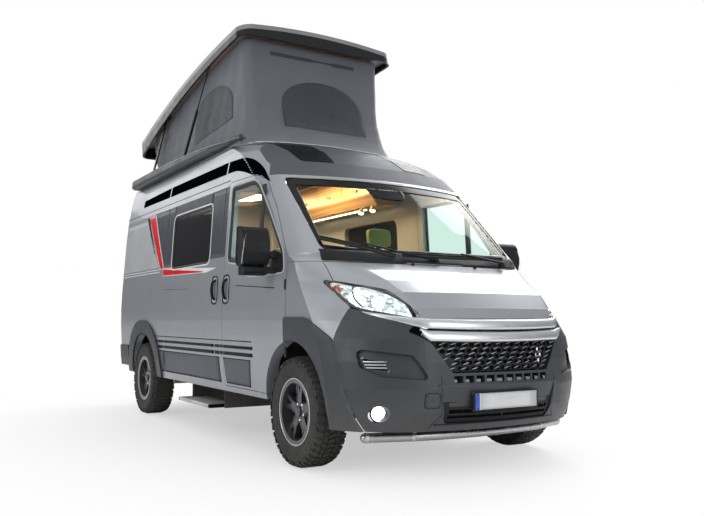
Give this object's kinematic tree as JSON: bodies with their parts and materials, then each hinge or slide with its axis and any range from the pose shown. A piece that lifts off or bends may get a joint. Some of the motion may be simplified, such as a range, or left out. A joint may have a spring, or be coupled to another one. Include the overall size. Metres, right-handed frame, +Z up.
{
  "type": "camper van",
  "caption": "Panel-van camper with raised pop-up roof, fabric bellows, side awning, entry step, opening doors and bonnet, steered front wheels",
  "frame": {"origin": "on the floor under the middle of the vehicle", "axes": "+X forward, +Y to the vehicle's left, +Z up"},
  "size_m": [5.4919, 2.524, 3.6119],
  "materials": {
    "body_paint": "metallic silver-grey paint",
    "cap_paint": "dark grey paint, satin gloss",
    "cladding": "grained dark grey plastic",
    "black_plastic": "fine-grained black plastic",
    "bright_trim": "polished chrome",
    "window_glass": "tinted safety glass",
    "screen_glass": "clear laminated glass",
    "lamp_lens": "clear moulded lens",
    "tail_lens": "red lens",
    "tyre": "matt black tread rubber",
    "alloy": "dark grey painted alloy",
    "bar_steel": "polished stainless tube",
    "chassis_steel": "black chassis paint",
    "raw_iron": "cast and machined iron",
    "lid_shell": "light grey lacquered composite",
    "tent_cloth": "woven grey tent cloth",
    "awning_case": "anthracite powder coat",
    "step_alloy": "ribbed anodised aluminium",
    "seat_cloth": "olive cloth with dark bolsters",
    "light_wood": "satin light wood veneer",
    "mattress_cloth": "quilted mattress cover",
    "link_steel": "black coated steel",
    "blank_plate": "white reflective plate, blank"
  },
  "bodies": {
    "van_body": {"left_body_side": "body_paint", "right_body_side": "body_paint", "sliding_door": "body_paint", "side_windows": "window_glass", "windscreen": "screen_glass", "windscreen_frame": "body_paint", "roof_cap": "cap_paint", "roof_panel": "body_paint", "front_wings": "body_paint", "front_bumper": "cladding", "rear_bumper": "cladding", "front_lamps": "lamp_lens", "grille": "black_plastic", "grille_bars": "bright_trim", "tail_lamps": "tail_lens", "arch_trims": "cladding", "floor_pan": "chassis_steel", "bulkhead": "chassis_steel", "towing_bracket": "chassis_steel", "rear_axle": "raw_iron", "front_subframe": "chassis_steel", "engine": "raw_iron", "fuel_tank": "black_plastic", "exhaust": "bar_steel", "front_seats": "seat_cloth", "dashboard": "black_plastic", "kitchen_unit": "light_wood", "overhead_lockers": "light_wood", "rear_bed": "mattress_cloth", "roof_bellows": "tent_cloth", "awning": "awning_case", "bumper_bar": "bar_steel", "front_plate": "blank_plate"},
    "left_front_door": {"left_front_door": "body_paint", "left_front_glass": "window_glass", "left_mirror": "black_plastic"},
    "right_front_door": {"right_front_door": "body_paint", "right_front_glass": "window_glass", "right_mirror": "black_plastic"},
    "left_rear_door": {"left_rear_door": "body_paint", "left_rear_glass": "window_glass"},
    "right_rear_door": {"right_rear_door": "body_paint", "right_rear_glass": "window_glass"},
    "bonnet": {"bonnet": "body_paint"},
    "left_knuckle": {"left_knuckle": "raw_iron"},
    "right_knuckle": {"right_knuckle": "raw_iron"},
    "front_left_wheel": {"front_left_tyre": "tyre", "front_left_rim": "alloy"},
    "front_right_wheel": {"front_right_tyre": "tyre", "front_right_rim": "alloy"},
    "rear_left_wheel": {"rear_left_tyre": "tyre", "rear_left_rim": "alloy"},
    "rear_right_wheel": {"rear_right_tyre": "tyre", "rear_right_rim": "alloy"},
    "steering_wheel": {"steering_wheel": "black_plastic"},
    "roof_arms": {"roof_arms": "link_steel"},
    "pop_roof": {"pop_roof": "lid_shell"},
    "roof_strut_tubes": {"roof_strut_tubes": "link_steel"},
    "roof_strut_rods": {"roof_strut_rods": "bar_steel"},
    "step_tread": {"step_tread": "step_alloy"}
  },
  "joints": [
    {"name": "left_steering", "type": "hinge", "parent": "van_body", "child": "left_knuckle", "pos_m": [1.758, 0.85, 0.366], "axis": [0, 0, 1], "range_deg": [-35, 35]},
    {"name": "right_steering", "type": "hinge", "parent": "van_body", "child": "right_knuckle", "pos_m": [1.758, -0.85, 0.366], "axis": [0, 0, 1], "range_deg": [-35, 35]},
    {"name": "steering_wheel_turn", "type": "hinge", "parent": "van_body", "child": "steering_wheel", "pos_m": [1.12, 0.44, 1.25], "axis": [-0.8829, 0, 0.4695], "range_deg": [-565, 565]},
    {"name": "front_left_wheel_spin", "type": "hinge", "parent": "left_knuckle", "child": "front_left_wheel", "pos_m": [1.758, 0.905, 0.366], "axis": [0, 1, 0], "continuous": true},
    {"name": "rear_left_wheel_spin", "type": "hinge", "parent": "van_body", "child": "rear_left_wheel", "pos_m": [-1.692, 0.905, 0.366], "axis": [0, 1, 0], "continuous": true},
    {"name": "left_front_door_swing", "type": "hinge", "parent": "van_body", "child": "left_front_door", "pos_m": [1.672, 1.034, 1.2], "axis": [0, 0, -1], "range_deg": [0, 65]},
    {"name": "left_rear_door_swing", "type": "hinge", "parent": "van_body", "child": "left_rear_door", "pos_m": [-2.712, 0.985, 1.4], "axis": [0, 0, -1], "range_deg": [0, 180]},
    {"name": "front_right_wheel_spin", "type": "hinge", "parent": "right_knuckle", "child": "front_right_wheel", "pos_m": [1.758, -0.905, 0.366], "axis": [0, 1, 0], "continuous": true},
    {"name": "rear_right_wheel_spin", "type": "hinge", "parent": "van_body", "child": "rear_right_wheel", "pos_m": [-1.692, -0.905, 0.366], "axis": [0, 1, 0], "continuous": true},
    {"name": "right_front_door_swing", "type": "hinge", "parent": "van_body", "child": "right_front_door", "pos_m": [1.672, -1.034, 1.2], "axis": [0, 0, 1], "range_deg": [0, 65]},
    {"name": "right_rear_door_swing", "type": "hinge", "parent": "van_body", "child": "right_rear_door", "pos_m": [-2.712, -0.985, 1.4], "axis": [0, 0, 1], "range_deg": [0, 180]},
    {"name": "bonnet_lift", "type": "hinge", "parent": "van_body", "child": "bonnet", "pos_m": [1.985, 0, 1.376], "axis": [0, -1, 0], "range_deg": [0, 60]},
    {"name": "roof_lift", "type": "hinge", "parent": "van_body", "child": "roof_arms", "pos_m": [-2.427, 0, 2.57], "axis": [0, 1, 0], "range_deg": [0, 41.77], "deforming": ["roof_bellows"]},
    {"name": "roof_tilt", "type": "hinge", "parent": "roof_arms", "child": "pop_roof", "pos_m": [-1.887, 0, 3.20128], "axis": [0, 1, 0], "range_deg": [-31.17, 0]},
    {"name": "roof_strut_swing", "type": "hinge", "parent": "van_body", "child": "roof_strut_tubes", "pos_m": [-1.35, 0, 2.565], "axis": [0, 1, 0], "range_deg": [0, 43.96]},
    {"name": "roof_strut_stroke", "type": "slide", "parent": "roof_strut_tubes", "child": "roof_strut_rods", "axis": [0.6622, 0, 0.7494], "range_m": [-0.0798, 0]},
    {"name": "step_slide", "type": "slide", "parent": "van_body", "child": "step_tread", "axis": [0, -1, 0], "range_m": [0, 0.22]}
  ],
  "couplings": [
    {"joint": "right_steering", "follows": "left_steering", "ratio": 1},
    {"joint": "steering_wheel_turn", "follows": "left_steering", "ratio": 16},
    {"joint": "roof_tilt", "follows": "roof_lift", "ratio": -0.74384},
    {"joint": "roof_strut_swing", "follows": "roof_lift", "ratio": 1.0499},
    {"joint": "roof_strut_stroke", "follows": "roof_lift", "m_per_rad": -0.1081}
  ]
}
